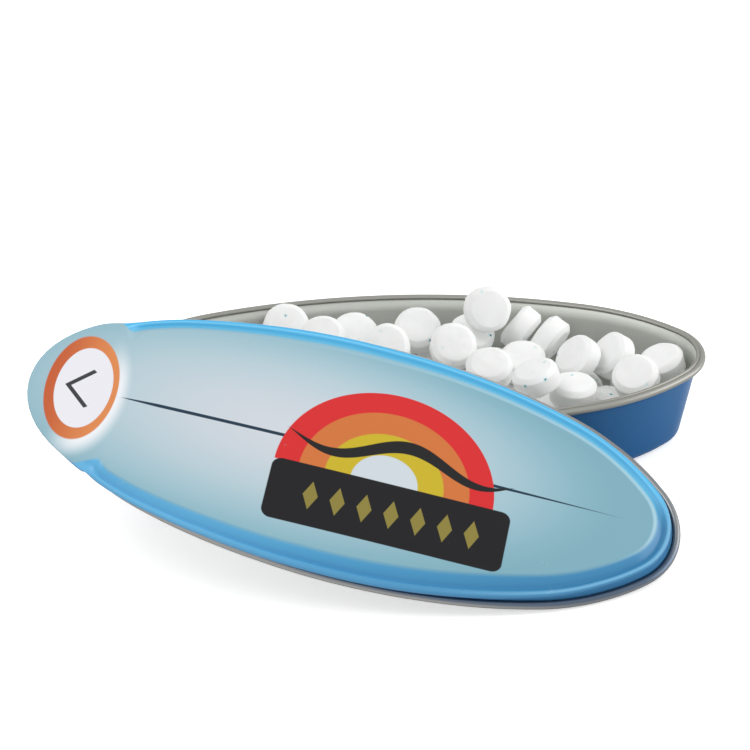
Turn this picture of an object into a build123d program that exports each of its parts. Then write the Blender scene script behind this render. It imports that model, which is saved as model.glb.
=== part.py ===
from build123d import *
import math
import os
import numpy as np

# A long oval mint tin in the shape of a surfboard: an open pressed tinplate body full of mints,
# with its own lid taken off and leaned against the front of the body.
# Millimetres. X runs along the tin, +Y to the back, +Z up, and the origin is the middle of the base.
# The outline is an oval of eight arcs, and each pressed wall is one drawn section turned round them.

# the body as a whole
rim_length = 112.0          # over the rolled rim, end to end
rim_width = 49.3            # over the rolled rim, across
end_radius = 12.35          # outline at the two ends
end_angle = 44.64           # degrees that each end arc takes up, counted from the long axis
side_angle = 72.45          # where the shoulder arcs hand over to the long side arcs
body_height = 17.5          # floor to the top of the rim
sheet = 0.32                # coated tinplate
blend = 0.06                # how far joined shapes run into each other

# the rolled rim of the body
rim_roll_d = 1.3            # outer roll
rim_ridge_d = 0.7           # small ridge between the roll and the inner wall
roll_drop = 0.12            # top of the roll below the top of the ridge
roll_lap = 0.25             # how far roll and ridge run into each other

# the wall and base of the body
wall_lean = 3.4             # how far the wall comes in from the rim to the base
base_radius = 2.6           # rounded edge round the base
base_border = 3.4           # level border of the base that the wall section carries
base_lap = 1.7              # how far the middle plate of the base runs into that border

# the lid
curl_d = 1.5                # rolled bare edge round the lid
skirt_clear = 0.15          # room between the rolled rim and the skirt of the lid
bead_height = 3.0           # underside of the curl to the top of the bead
bead_flat = 1.15            # bead from the skirt to its inner shoulder
bead_corner = 0.6
bead_shoulder = 0.45
groove_width = 0.9          # shoulder of the bead to the bottom of the groove
groove_depth = 0.55
groove_radius = 0.7
slope_width = 2.4           # bottom of the groove to the edge of the panel
slope_rise = 1.25
panel_corner = 0.8
panel_border = 2.6          # level border of the panel that the edge section carries
border_lap = 1.4            # how far the crowned panel runs into that border
panel_crown = 0.7           # how far the middle of the panel stands above its edge
crown_strip = 0.5           # level strip left between the border and the crown
crown_angle = 50.0          # how much of a ball the crown is cut from

# the press tab at the left end of the lid
tab_crease = 11.5           # left end of the outline to the crease of the tab
tab_overhang = 4.2          # how far the tip of the tab reaches past that end
tab_oval_length = 24.2      # half length of the oval that rounds the tab
tab_side_inset = 5.65       # how much narrower than the outline that oval is, each side
tab_root_inset = 9.65       # the same for the sheet that runs under the panel
tab_slope = 4.0             # degrees down from the panel
tab_lap = 4.5               # how far the tab's sheet runs under the panel
tab_bend = 5.0              # bend radius of the crease
edge_end = 122.0            # where bead, skirt and curl stop, round from the right end

# how the lid leans on the body
lean_roll = 22.9            # degrees, far edge up
lean_pitch = 12.36          # degrees, tab end up
lean_yaw = -9.1             # degrees, right end to the front
lean_shift_share = -0.173   # middle of the lid along the tin, as a share of half its length
floor_gap = 0.05            # under the lowest point of the lid
rest_gap = 0.25             # between the curl of the lid and the rim it leans on

# the mints
mint_d = 8.8
mint_thickness = 4.7
mint_bevel = 0.6            # bevel round each face, measured in from the edge
mint_bevel_rise = 0.4       # how much of the thickness each bevel takes
mint_gap = 0.08             # least room round each mint
layer_pitch_share = 1.16    # spacing in the lower layers, as a share of the mint's diameter
layer_tilt = 13.0           # most that a mint of the middle layer tilts, in degrees
tilt_step = 137.5           # degrees from one mint's tilt to the next
lower_sides = 12            # faces round a mint of the lower layers, which the top ones hide
under_lid_count = 14        # first mints of the top layer: under the lid, so as plain as the lower ones
loose_gap = 0.3             # least room round the mint that stands loose on the pile

# mints of the top layer: along and across as shares of the half length and half width,
# then the tilt of the axis and the way it tilts, in degrees round from the right end;
# the last one is the mint that stands loose on the others
top_shares = [
    (-0.78, -0.09, 3, 199),
    (-0.67, -0.40, 3, 86),
    (-0.71, 0.40, 14, 309),
    (-0.52, -0.53, 19, 95),
    (-0.61, -0.02, 7, 13),
    (-0.33, -0.39, 3, 58),
    (-0.37, 0.02, 3, 201),
    (-0.17, -0.58, 5, 93),
    (-0.15, -0.13, 11, 329),
    (-0.01, -0.62, 3, 92),
    (0.06, -0.07, 8, 150),
    (0.14, -0.42, 8, 90),
    (0.34, -0.61, 20, 55),
    (-0.54, 0.45, 10, 247),
    (0.86, 0.06, 19, 209),
    (0.76, -0.24, 30, 239),
    (0.70, 0.13, 50, 200),
    (0.55, -0.33, 5, 292),
    (0.58, 0.04, 46, 201),
    (0.42, -0.47, 17, 181),
    (0.40, 0.13, 22, 262),
    (0.50, 0.42, 65, 145),
    (0.28, -0.13, 21, 262),
    (0.41, 0.57, 58, 154),
    (0.24, 0.51, 30, 302),
    (0.17, 0.20, 42, 278),
    (0.06, 0.54, 33, 268),
    (-0.05, 0.19, 39, 264),
    (-0.15, 0.57, 36, 283),
    (-0.26, 0.34, 32, 254),
    (-0.38, 0.65, 44, 278),
    (0.29, 0.45, 60, 281),
]

half_length = rim_length / 2
half_width = rim_width / 2
tab_root = half_length - tab_crease
tab_tip = half_length + tab_overhang
tab_oval_width = half_width - tab_side_inset
tab_root_width = half_width - tab_root_inset


# outline: radii and centres of the three arcs in one quarter, worked out from the sizes above
def quarter():
    """Radius and centre of the side, shoulder and end arcs in the quarter where x and y are positive."""
    side, end = math.radians(side_angle), math.radians(end_angle)
    c1, s1, c2, s2 = math.cos(side), math.sin(side), math.cos(end), math.sin(end)
    right_x = half_length - end_radius * (1 - c2)
    right_y = end_radius * s2 - half_width
    spread = c1 * (s2 - s1) - (c2 - c1) * (s1 - 1)
    r_side = (right_x * (s2 - s1) - (c2 - c1) * right_y) / spread
    r_shoulder = (c1 * right_y - (s1 - 1) * right_x) / spread
    at_side = (0, half_width - r_side)
    at_shoulder = ((r_side - r_shoulder) * c1, at_side[1] + (r_side - r_shoulder) * s1)
    at_end = (half_length - end_radius, 0)
    return (r_side, at_side), (r_shoulder, at_shoulder), (end_radius, at_end)


def arcs(stop=180.0):
    """The outline as arcs (centre, radius, start, turn in degrees), from -stop to stop."""
    (r1, c1), (r2, c2), (r3, c3) = quarter()
    upper = [
        (c3, r3, 0, end_angle),
        (c2, r2, end_angle, side_angle - end_angle),
        (c1, r1, side_angle, 90 - side_angle),
        ((-c1[0], c1[1]), r1, 90, 90 - side_angle),
        ((-c2[0], c2[1]), r2, 180 - side_angle, side_angle - end_angle),
        ((-c3[0], c3[1]), r3, 180 - end_angle, end_angle),
    ]
    kept = []
    for centre, radius, start, turn in upper:
        turn = min(turn, stop - start)
        if turn > 0:
            kept.append((centre, radius, start, turn))
    lower = [((c[0], -c[1]), r, -start - turn, turn) for c, r, start, turn in kept]
    return kept + lower


def carry(profile, stop=180.0):
    """One drawn section (x outwards from the outline, y up) turned round the arcs of the outline."""
    pieces = []
    for centre, radius, start, turn in arcs(stop):
        out = Vector(math.cos(math.radians(start)), math.sin(math.radians(start)), 0)
        origin = Vector(*centre, 0) + out * radius
        plane = Plane(origin=origin, x_dir=out, z_dir=out.cross(Vector(0, 0, 1)))
        axis = Axis((centre[0], centre[1], 0), (0, 0, 1))
        pieces.append(revolve(plane * profile, axis=axis, revolution_arc=turn))
    return pieces[0].fuse(*pieces[1:])


def oval(inset):
    """Flat face inside the outline, drawn in by an inset."""
    edges = []
    for centre, radius, start, turn in arcs():
        edges.append(CenterArc((centre[0], centre[1], 0), radius - inset, start, turn))
    return make_face(Wire(edges))


def sheet_section(points, radii, side):
    """A bent line of sheet as a closed section, rounded at each corner."""
    line = FilletPolyline(*points, radius=radii)
    return make_face(offset(line, amount=sheet, side=side))


def dot(diameter, x, y):
    return Pos(x, y) * Circle(diameter / 2)


# body: section places, measured outwards from the rim's outline
ridge_x = -rim_roll_d - rim_ridge_d / 2 + roll_lap
ridge_y = body_height - rim_ridge_d / 2
wall_x = ridge_x + sheet / 2
foot_x = wall_x - wall_lean
border_x = foot_x - base_radius - base_border


def tin_body():
    """Rolled rim, leaning wall, rounded edge and base, all of one thickness."""
    wall = sheet_section([(border_x, 0), (foot_x, 0), (wall_x, ridge_y)], base_radius, Side.LEFT)
    roll = dot(rim_roll_d, -rim_roll_d / 2, body_height - roll_drop - rim_roll_d / 2)
    ridge = dot(rim_ridge_d, ridge_x, ridge_y)
    base = extrude(oval(-border_x - base_lap), sheet)
    return carry(wall + roll + ridge) + base


# lid: section places, measured outwards from the rim's outline, heights from the curl's underside
skirt_x = skirt_clear + sheet
shoulder_x = skirt_x - bead_flat
groove_x = shoulder_x - groove_width
panel_x = groove_x - slope_width
groove_y = bead_height - groove_depth
panel_y = groove_y + slope_rise
curl_x = skirt_x + curl_d / 2 - blend
crown_inset = -panel_x + panel_border - border_lap


def lid_edge():
    """Panel border, slope, groove, bead, skirt and rolled edge, round all but the tab."""
    line = [
        (panel_x - panel_border, panel_y),
        (panel_x, panel_y),
        (groove_x, groove_y),
        (shoulder_x, bead_height),
        (skirt_x, bead_height),
        (skirt_x, curl_d / 2),
    ]
    radii = [panel_corner, groove_radius, bead_shoulder, bead_corner]
    pressed = sheet_section(line, radii, Side.RIGHT)
    return carry(pressed + dot(curl_d, curl_x, curl_d / 2), edge_end)


def crown(top):
    """Crowned panel as a solid dome whose edge lies at the given height."""
    angle = math.radians(crown_angle)
    reach = math.sin(angle)
    rise = 1 - math.cos(angle)
    cap = Pos(0, 0, -math.cos(angle)) * Sphere(1) & Box(
        2, 2, 2, align=(Align.CENTER, Align.CENTER, Align.MIN)
    )
    inset = crown_inset + crown_strip
    by = ((half_length - inset) / reach, (half_width - inset) / reach, panel_crown / rise)
    return Pos(0, 0, top) * scale(cap, by=by)


def panel():
    """Crowned sheet inside the border, cut off at the crease of the tab."""
    plate = Pos(0, 0, panel_y - sheet) * extrude(oval(crown_inset), sheet)
    shell = plate + crown(panel_y) - crown(panel_y - sheet)
    keep = Pos(-tab_root, 0, 0) * Box(
        rim_length, rim_width, body_height, align=(Align.MIN, Align.CENTER, Align.CENTER)
    )
    return shell & keep


def tab():
    """Sloping tongue that takes the place of bead and skirt at the left end."""
    tip_x = -tab_tip - blend
    tip_y = panel_y + (tab_root + tip_x) * math.tan(math.radians(tab_slope))
    points = [(-tab_root + tab_lap, panel_y), (-tab_root, panel_y), (tip_x, tip_y)]
    strip = sheet_section(points, tab_bend, Side.LEFT)
    tongue = extrude(Plane.XZ * strip, rim_width / 2, both=True)
    round_end = Pos(-tab_tip + tab_oval_length, 0) * Ellipse(tab_oval_length, tab_oval_width)
    root = Pos(-tab_root, 0) * Rectangle(
        tab_lap, tab_root_width * 2, align=(Align.MIN, Align.CENTER)
    )
    left = Pos(-tab_root, 0) * Rectangle(
        rim_length, rim_width, align=(Align.MAX, Align.CENTER)
    )
    plan = (round_end & left) + root
    return tongue & extrude(plan, body_height, both=True)


def lid_turn():
    """Turn of the leaning lid as three rows."""
    a, b, c = (math.radians(v) for v in (lean_roll, lean_pitch, lean_yaw))
    roll = np.array([[1, 0, 0], [0, math.cos(a), -math.sin(a)], [0, math.sin(a), math.cos(a)]])
    pitch = np.array([[math.cos(b), 0, math.sin(b)], [0, 1, 0], [-math.sin(b), 0, math.cos(b)]])
    yaw = np.array([[math.cos(c), -math.sin(c), 0], [math.sin(c), math.cos(c), 0], [0, 0, 1]])
    return yaw @ pitch @ roll


def outline_points(outset, height, count=720):
    """Points round the outline, set out and up."""
    points = []
    for centre, radius, start, turn in arcs():
        angle = np.radians(np.linspace(start, start + turn, count // 12))
        x = centre[0] + (radius + outset) * np.cos(angle)
        y = centre[1] + (radius + outset) * np.sin(angle)
        points.append(np.stack([x, y, np.full_like(x, height)], axis=1))
    return np.concatenate(points)


def lid_place():
    """Where the lid's middle lies when its curl is on the floor and leans on the near rim."""
    curl = outline_points(curl_x, curl_d / 2) @ lid_turn().T
    roll = outline_points(-rim_roll_d / 2, body_height - roll_drop - rim_roll_d / 2)
    up = floor_gap + curl_d / 2 - curl[:, 2].min()
    along = lean_shift_share * half_length
    reach = (curl_d + rim_roll_d) / 2 + rest_gap
    y = -2 * rim_width
    apart = rim_width
    while apart > reach + blend / 10:
        moved = curl + np.array([along, y, up])
        apart = np.linalg.norm(moved[:, None, :] - roll[None, :, :], axis=2).min()
        y += apart - reach
    return Vector(along, y, up)


def lid():
    flat = lid_edge() + panel() + tab()
    turn = Rot(0, 0, lean_yaw) * Rot(0, lean_pitch, 0) * Rot(lean_roll, 0, 0)
    return Pos(*lid_place()) * turn * flat


# pile: a mint is a disc with a bevel round each face, let down until it meets something
mint_r = mint_d / 2
mint_half = mint_thickness / 2
wall_inset = sheet - wall_x         # inner face of the wall below the rim, from the outline


def inside_outline(x, y):
    """How far points lie inside the outline, across the nearest arc."""
    (r1, c1), (r2, c2), (r3, c3) = quarter()
    x, y = np.abs(x), np.abs(y)
    to_end = r3 - np.hypot(x - c3[0], y - c3[1])
    to_shoulder = r2 - np.hypot(x - c2[0], y - c2[1])
    to_side = r1 - np.hypot(x - c1[0], y - c1[1])
    past_end = np.arctan2(y - c3[1], x - c3[0]) > math.radians(end_angle)
    past_shoulder = np.arctan2(y - c2[1], x - c2[0]) > math.radians(side_angle)
    return np.where(past_end, np.where(past_shoulder, to_side, to_shoulder), to_end)


def room_in_tin(points):
    """Least distance from points to the floor, wall or rounded edge inside the body."""
    x, y, z = points[..., 0], points[..., 1], points[..., 2]
    lean = math.atan2(wall_lean, ridge_y)
    inset = wall_inset + wall_lean * np.clip((ridge_y - z) / ridge_y, 0, None)
    to_wall = (inside_outline(x, y) - inset) * math.cos(lean)
    to_floor = z - sheet
    r = base_radius - sheet
    in_corner = np.hypot(np.clip(r - to_wall, 0, None), np.clip(r - to_floor, 0, None))
    return np.minimum(np.minimum(to_wall, to_floor), r - in_corner)


def room_to_mint(points, centre, axis):
    """Least distance from points to a mint, taken as a plain disc."""
    away = points - centre
    up = away @ axis
    out = np.sqrt(np.clip((away ** 2).sum(axis=-1) - up ** 2, 0, None))
    return np.maximum(out - mint_r, np.abs(up) - mint_half)


def mint_points(centre, axis, count=32):
    """Points round the two edges of a mint."""
    side = np.cross(axis, [0.0, 1.0, 0.0])
    side = side / np.linalg.norm(side)
    other = np.cross(axis, side)
    angle = np.linspace(0, 2 * math.pi, count, endpoint=False)
    ring = centre + mint_r * (np.outer(np.cos(angle), side) + np.outer(np.sin(angle), other))
    return np.concatenate([ring + axis * mint_half, ring - axis * mint_half])


def off_wall(x, y):
    """The place, moved towards the middle if a mint there wouldn't pass the rim."""
    short = wall_inset + mint_r + mint_gap - float(inside_outline(x, y))
    while short > 0:
        away = math.hypot(x, y)
        x -= x / away * (short + mint_gap)
        y -= y / away * (short + mint_gap)
        short = wall_inset + mint_r + mint_gap - float(inside_outline(x, y))
    return x, y


def let_down(x, y, tilt, towards, placed, gap=mint_gap):
    """Middle and axis of a mint lowered at (x, y) until it all but touches wall, floor or pile."""
    x, y = off_wall(x, y)
    tilt, towards = math.radians(tilt), math.radians(towards)
    axis = np.array([
        math.sin(tilt) * math.cos(towards),
        math.sin(tilt) * math.sin(towards),
        math.cos(tilt),
    ])
    highest = max((c[2] for c, _ in placed), default=0)
    centre = np.array([x, y, max(highest, body_height) + mint_d])
    near = [(c, a) for c, a in placed if math.hypot(c[0] - x, c[1] - y) < 2 * mint_d]
    room = mint_d
    while room > gap / 10:
        points = mint_points(centre, axis)
        least = room_in_tin(points).min()
        for other, other_axis in near:
            least = min(least, room_to_mint(points, other, other_axis).min())
            least = min(least, room_to_mint(mint_points(other, other_axis), centre, axis).min())
        room = least - gap
        centre[2] -= max(room, 0)
    return centre, axis


def layer(level, placed):
    """Flat mints in staggered rows, as many as the tin's width at that level takes."""
    pitch = mint_d * layer_pitch_share
    row = pitch * math.sqrt(3) / 2
    odd = level % 2
    low = sheet + level * mint_thickness
    inset = wall_inset + wall_lean * (ridge_y - low) / ridge_y + mint_r + 2 * mint_gap
    if level == 0:
        inset += mint_gap
    across = int(half_width / row) + 1
    along = int(half_length / pitch) + 1
    added = []
    for j in range(-across, across + 1):
        y = (j + odd / 2) * row
        for i in range(-along, along + 1):
            x = (i + (j % 2) / 2 + odd / 4) * pitch
            if inside_outline(np.array(x), np.array(y)) > inset:
                towards = len(added) * tilt_step
                tilt = layer_tilt * odd * (1 + math.cos(math.radians(towards))) / 2
                added.append(let_down(x, y, tilt, towards, placed + added))
    return added


def pile():
    """All the mints, as middles and axes: two lower layers, the top one and the standing mint."""
    bottom = layer(0, [])
    middle = layer(1, bottom)
    top = []
    for row in top_shares:
        x, y = row[0] * half_length, row[1] * half_width
        gap = mint_gap if len(top) < len(top_shares) - 1 else loose_gap
        top.append(let_down(x, y, row[2], row[3], bottom + middle + top, gap))
    return bottom, middle, top[:-1], top[-1]


def frame_of(centre, axis):
    return Plane(origin=Vector(*centre), z_dir=Vector(*axis))


def round_mint(place):
    """A round mint with a bevel round both faces."""
    low = [(0, -mint_half), (mint_r - mint_bevel, -mint_half), (mint_r, mint_bevel_rise - mint_half)]
    high = [(x, -y) for x, y in reversed(low)]
    return frame_of(*place) * revolve(Plane.XZ * make_face(Polyline(*low, *high, close=True)), Axis.Z)


def plain_mint(place):
    """A mint of the hidden layers, with flats in place of the round side."""
    side = RegularPolygon(mint_r, lower_sides)
    return frame_of(*place) * extrude(side, mint_half, both=True)


if __name__ == "__main__":
    os.makedirs("parts", exist_ok=True)
    bottom, middle, top, standing = pile()
    nodes = {
        "tin_body": tin_body(),
        "lid": lid(),
        "mints_bottom_layer": Compound(children=[plain_mint(p) for p in bottom]),
        "mints_middle_layer": Compound(children=[plain_mint(p) for p in middle]),
        "mints_top_layer": Compound(
            children=[plain_mint(p) for p in top[:under_lid_count]] + [round_mint(p) for p in top[under_lid_count:]]
        ),
        "mint_standing": round_mint(standing),
    }
    for name, shape in nodes.items():
        export_step(shape, f"parts/{name}.step")
        print(name, len(shape.solids()), "solids", round(shape.volume, 1), "mm3")
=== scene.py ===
# %% [markdown]
# # A surfboard-shaped mint tin, dressed for the camera
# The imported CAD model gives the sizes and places. This script gives it looks: it makes fine
# versions of the pressed sheets and the mints, and paints them with procedural materials.
# The first cell loads the CAD frame. Everything is in metres, with the origin in the middle of
# the tin's base, X along the tin, Y to the back and Z up.

# %% Load the frame
import math
import bpy
import bmesh
import numpy as np
from mathutils import Euler, Matrix, Vector


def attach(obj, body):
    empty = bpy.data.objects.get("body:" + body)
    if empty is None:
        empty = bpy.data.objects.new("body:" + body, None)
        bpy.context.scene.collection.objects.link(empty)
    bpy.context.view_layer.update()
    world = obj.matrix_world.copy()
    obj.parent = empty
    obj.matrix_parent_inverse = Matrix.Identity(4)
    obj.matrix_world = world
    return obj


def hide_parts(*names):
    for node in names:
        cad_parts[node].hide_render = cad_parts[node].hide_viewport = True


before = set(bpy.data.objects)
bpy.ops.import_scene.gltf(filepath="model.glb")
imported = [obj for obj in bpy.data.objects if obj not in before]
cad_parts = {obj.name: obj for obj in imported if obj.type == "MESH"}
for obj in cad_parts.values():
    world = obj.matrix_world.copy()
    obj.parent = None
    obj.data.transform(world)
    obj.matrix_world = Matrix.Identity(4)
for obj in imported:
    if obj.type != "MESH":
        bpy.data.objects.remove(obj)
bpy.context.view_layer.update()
MM = 0.001
scene = bpy.context.scene


def new_object(name, data):
    """An object in the scene that shows a mesh, a lamp or a camera."""
    obj = bpy.data.objects.new(name, data)
    scene.collection.objects.link(obj)
    return obj


def aim(obj, place, at):
    """Puts a camera or a lamp, which both look along their own -Z axis, to look at a point."""
    obj.location = place
    obj.rotation_euler = (Vector(at) - Vector(place)).to_track_quat("-Z", "Y").to_euler()


print("CAD nodes:", sorted(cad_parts))

# %% [markdown]
# ## Camera
# The camera comes first, because every later choice is judged through it. Its place and lens
# were worked out from the oval of the tin's rim, the oval of the lid and the height of the wall
# in the picture: a long lens about 0.7 m away, 30 degrees above the table and almost square on
# to the tin. `aim` turns its -Z axis to the point that it looks at.

# %% Camera
CAMERA_PLACE = Vector((-35.44, -595.33, 355.73)) * MM
CAMERA_AIM = Vector((-5.264, 0.0, 13.776)) * MM
FOCAL_MM = 178.31

camera_data = bpy.data.cameras.new("camera")
camera_data.lens = FOCAL_MM
camera_data.sensor_width = 36.0
camera_data.clip_start = 0.01
camera = new_object("camera", camera_data)
aim(camera, CAMERA_PLACE, CAMERA_AIM)
scene.camera = camera
print("camera", round((CAMERA_AIM - CAMERA_PLACE).length, 4), "m from its aim")

# %% [markdown]
# ## Small helpers
# Nodes are easier to read when a helper makes one, sets its values and places its links in a
# single call. `add` does that for shader trees and geometry trees alike. The print needs many
# Math nodes, so a `Field` wraps a node's output and turns plain arithmetic into nodes: with two
# fields a and b, `a * b - 1.0` adds a Multiply and a Subtract. Between masks, `*` means overlap.

# %% Helpers for node trees
def feed(value, socket):
    """Links a Field, an output or a node's first output to a socket, or writes a plain value."""
    value = value.socket if isinstance(value, Field) else value
    value = value.outputs[0] if isinstance(value, bpy.types.Node) else value
    if isinstance(value, bpy.types.NodeSocket):
        socket.id_data.links.new(value, socket)
    else:
        socket.default_value = value


def add(tree, kind, inputs=(), **settings):
    """A new node. inputs: {input name or number: value}. settings: the node's own."""
    node = tree.nodes.new(kind)
    for key, value in settings.items():
        setattr(node, key, value)
    for key, value in dict(inputs).items():
        feed(value, node.inputs[key])
    return node


def new_tree(name, kind, inputs, outputs):
    """A node group. inputs and outputs: {kind of socket: names}."""
    tree = bpy.data.node_groups.new(name, kind)
    for way, sockets in (("INPUT", inputs), ("OUTPUT", outputs)):
        for socket_kind, names in sockets.items():
            for socket in names:
                tree.interface.new_socket(socket, in_out=way,
                                          socket_type="NodeSocket" + socket_kind)
    return tree


def maths(operation, a, b=0.0, clamp=False):
    """One Math node. At least one of a and b is a Field, and so is the result."""
    tree = a.tree if isinstance(a, Field) else b.tree
    node = add(tree, "ShaderNodeMath", {0: a, 1: b}, operation=operation, use_clamp=clamp)
    return Field(node.outputs[0])


class Field:
    """A node's output as a number to reckon with. A socket's id_data is the tree it is in."""
    def __init__(self, socket):
        self.socket, self.tree = socket, socket.id_data

    __add__ = lambda a, b: maths("ADD", a, b)
    __sub__ = lambda a, b: maths("SUBTRACT", a, b)
    __rsub__ = lambda a, b: maths("SUBTRACT", b, a)
    __mul__ = lambda a, b: maths("MULTIPLY", a, b)
    __truediv__ = lambda a, b: maths("DIVIDE", a, b)
    __abs__ = lambda a: maths("ABSOLUTE", a)


def soft_step(value, low, high):
    """0 below low, 1 above high, smooth between: the edge of every printed shape."""
    node = add(value.tree, "ShaderNodeMapRange",
               {"Value": value, "From Min": low, "From Max": high},
               interpolation_type="SMOOTHSTEP")
    return Field(node.outputs["Result"])


def soft_fall(value, low, high):
    """1 below low, 0 above high."""
    return soft_step(value * -1.0, -high, -low)


def noise(place, scale, detail, roughness=0.5):
    """The value of a noise texture at a place."""
    node = add(place.id_data, "ShaderNodeTexNoise",
               {"Vector": place, "Scale": scale, "Detail": detail, "Roughness": roughness})
    return Field(node.outputs["Fac"])


def linear(r, g, b):
    """A colour as read off a picture (0 to 255), turned into the renderer's linear colour."""
    def one(v):
        v = v / 255
        return v / 12.92 if v <= 0.04045 else ((v + 0.055) / 1.055) ** 2.4
    return (one(r), one(g), one(b), 1.0)


def mix_colours(factor, a, b):
    """Colour a where the factor is 0, colour b where it is 1."""
    node = add(factor.tree, "ShaderNodeMix", data_type="RGBA", clamp_factor=True)
    for name, value in (("Factor_Float", factor), ("A_Color", a), ("B_Color", b)):
        feed(value, next(s for s in node.inputs if s.identifier == name))
    return next(s for s in node.outputs if s.identifier == "Result_Color")


def lay(mask, colour, *shade):
    """The colour with a shade (r, g, b) laid over it where the mask is 1."""
    return mix_colours(mask, colour, linear(*shade))


def ramp(value, *stops):
    """A colour ramp. Each stop is (place, (r, g, b))."""
    node = add(value.tree, "ShaderNodeValToRGB", {"Fac": value})
    elements = node.color_ramp.elements
    while len(elements) < len(stops):
        elements.new(1.0)
    for element, (place, colour) in zip(elements, stops):
        element.position = place
        element.color = linear(*colour)
    return node.outputs["Color"]


print("helpers ready")

# %% [markdown]
# ## The oval outline
# Tin and lid share one outline: a long oval of eight circular arcs, wide in the middle and
# tight at the ends, like a surfboard. Real press tools are turned from such arcs. Here each arc
# is sampled into points, together with the outward direction at each point, because every wall
# of the tin is a section that is drawn once and carried along that line.

# %% Outline
RIM_LENGTH, RIM_WIDTH = 112.0, 49.3
END_RADIUS, END_ANGLE, SIDE_ANGLE = 12.35, 44.64, 72.45
HALF_LENGTH, HALF_WIDTH = RIM_LENGTH / 2, RIM_WIDTH / 2


def quarter_arcs():
    """(radius, centre) of the side, shoulder and end arcs, so that they meet without a corner."""
    side, end = math.radians(SIDE_ANGLE), math.radians(END_ANGLE)
    c1, s1, c2, s2 = math.cos(side), math.sin(side), math.cos(end), math.sin(end)
    right_x = HALF_LENGTH - END_RADIUS * (1 - c2)
    right_y = END_RADIUS * s2 - HALF_WIDTH
    spread = c1 * (s2 - s1) - (c2 - c1) * (s1 - 1)
    r_side = (right_x * (s2 - s1) - (c2 - c1) * right_y) / spread
    r_shoulder = (c1 * right_y - (s1 - 1) * right_x) / spread
    at_side = (0.0, HALF_WIDTH - r_side)
    at_shoulder = ((r_side - r_shoulder) * c1, at_side[1] + (r_side - r_shoulder) * s1)
    at_end = (HALF_LENGTH - END_RADIUS, 0.0)
    return (r_side, at_side), (r_shoulder, at_shoulder), (END_RADIUS, at_end)


def arc_facing(folded):
    """(radius, centre) of the arc that faces a direction from 0 (the end) to 90 (the side)."""
    side, shoulder, end = quarter_arcs()
    return end if folded < END_ANGLE else shoulder if folded < SIDE_ANGLE else side


def outline_at(angle):
    """Point and outward direction where the outline faces the given angle in degrees."""
    folded = angle % 360
    flip_y = -1 if folded > 180 else 1
    folded = 360 - folded if folded > 180 else folded
    flip_x = -1 if folded > 90 else 1
    folded = 180 - folded if folded > 90 else folded
    radius, centre = arc_facing(folded)
    out = Vector((math.cos(math.radians(folded)), math.sin(math.radians(folded))))
    point = Vector(centre) + out * radius
    return Vector((point.x * flip_x, point.y * flip_y)), Vector((out.x * flip_x, out.y * flip_y))


def outline_angles(start, stop, step_mm=1.1):
    """Angles from start to stop, closer where the outline is wide, so that steps are even."""
    angles = [start]
    while angles[-1] < stop:
        folded = abs(angles[-1]) % 180
        folded = 180 - folded if folded > 90 else folded
        step = math.degrees(step_mm / arc_facing(folded)[0])
        angles.append(min(stop, angles[-1] + step))
    return angles


ROUND = outline_angles(-180.0, 180.0)[:-1]
print("outline:", len(ROUND), "points; arc radii", [round(r, 1) for r, _ in quarter_arcs()])

# %% [markdown]
# ## Sections with rounded corners
# Pressed tinplate never has a sharp corner. `rounded` takes the corner points of a section and
# replaces each corner by a small arc, `divided` cuts long runs up, and `beside` moves such a line
# sideways to the other face of the sheet. A point is (out from the outline, up), in millimetres.

# %% Section helpers
SHEET = 0.32


def rounded(points, radii, steps=5):
    """The line through the points, each inner corner replaced by an arc of the given radius."""
    line = [Vector(points[0])]
    for before, corner, after, radius in zip(points, points[1:], points[2:], radii):
        before, corner, after = Vector(before), Vector(corner), Vector(after)
        u, v = (before - corner).normalized(), (after - corner).normalized()
        half = u.angle(v) / 2
        reach = radius / math.tan(half)
        centre = corner + (u + v).normalized() * radius / math.sin(half)
        a = corner + u * reach - centre
        b = corner + v * reach - centre
        turn = math.atan2(a.x * b.y - a.y * b.x, a.dot(b))
        line += [centre + Matrix.Rotation(turn * k / steps, 2) @ a for k in range(steps + 1)]
    return line + [Vector(points[-1])]


def divided(line, longest):
    """The same line with long runs cut up, so that a crowned surface can bend there."""
    out = [line[0]]
    for a, b in zip(line, line[1:]):
        n = max(1, math.ceil((b - a).length / longest))
        out += [a + (b - a) * k / n for k in range(1, n + 1)]
    return out


def beside(line, distance):
    """The line moved sideways: to the left of its direction where the distance is positive."""
    moved = []
    for before, point, after in zip(line[:1] + line, line, line[1:] + line[-1:]):
        way = (after - before).normalized()
        moved.append(point + Vector((-way.y, way.x)) * distance)
    return moved


print("sheet", SHEET, "mm")

# %% [markdown]
# ## A tree that carries a section round a line
# The open tin is one pressed sheet whose section is the same all the way round, so its shape
# follows a rule, and Geometry Nodes can make it: `Curve to Mesh` moves a profile along a path.
# Drawing every ring of points by hand would work too, but the tree keeps the sizes as inputs.
# Path and profile are both plain wires of edges, and the profile's points carry a number,
# `zone`, that says which finish they get: it survives the journey and picks the material.

# %% Carry tree
def wire(name, points, closed=True, zones=None):
    """Flat points, in mm, joined by edges, with an optional zone number on each point."""
    mesh = bpy.data.meshes.new(name)
    count = len(points)
    edges = [(i, (i + 1) % count) for i in range(count if closed else count - 1)]
    mesh.from_pydata([(p[0] * MM, p[1] * MM, 0.0) for p in points], edges, [])
    if zones:
        layer = mesh.attributes.new("zone", "INT", "POINT")
        layer.data.foreach_set("value", zones)
    return new_object(name, mesh)


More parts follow.
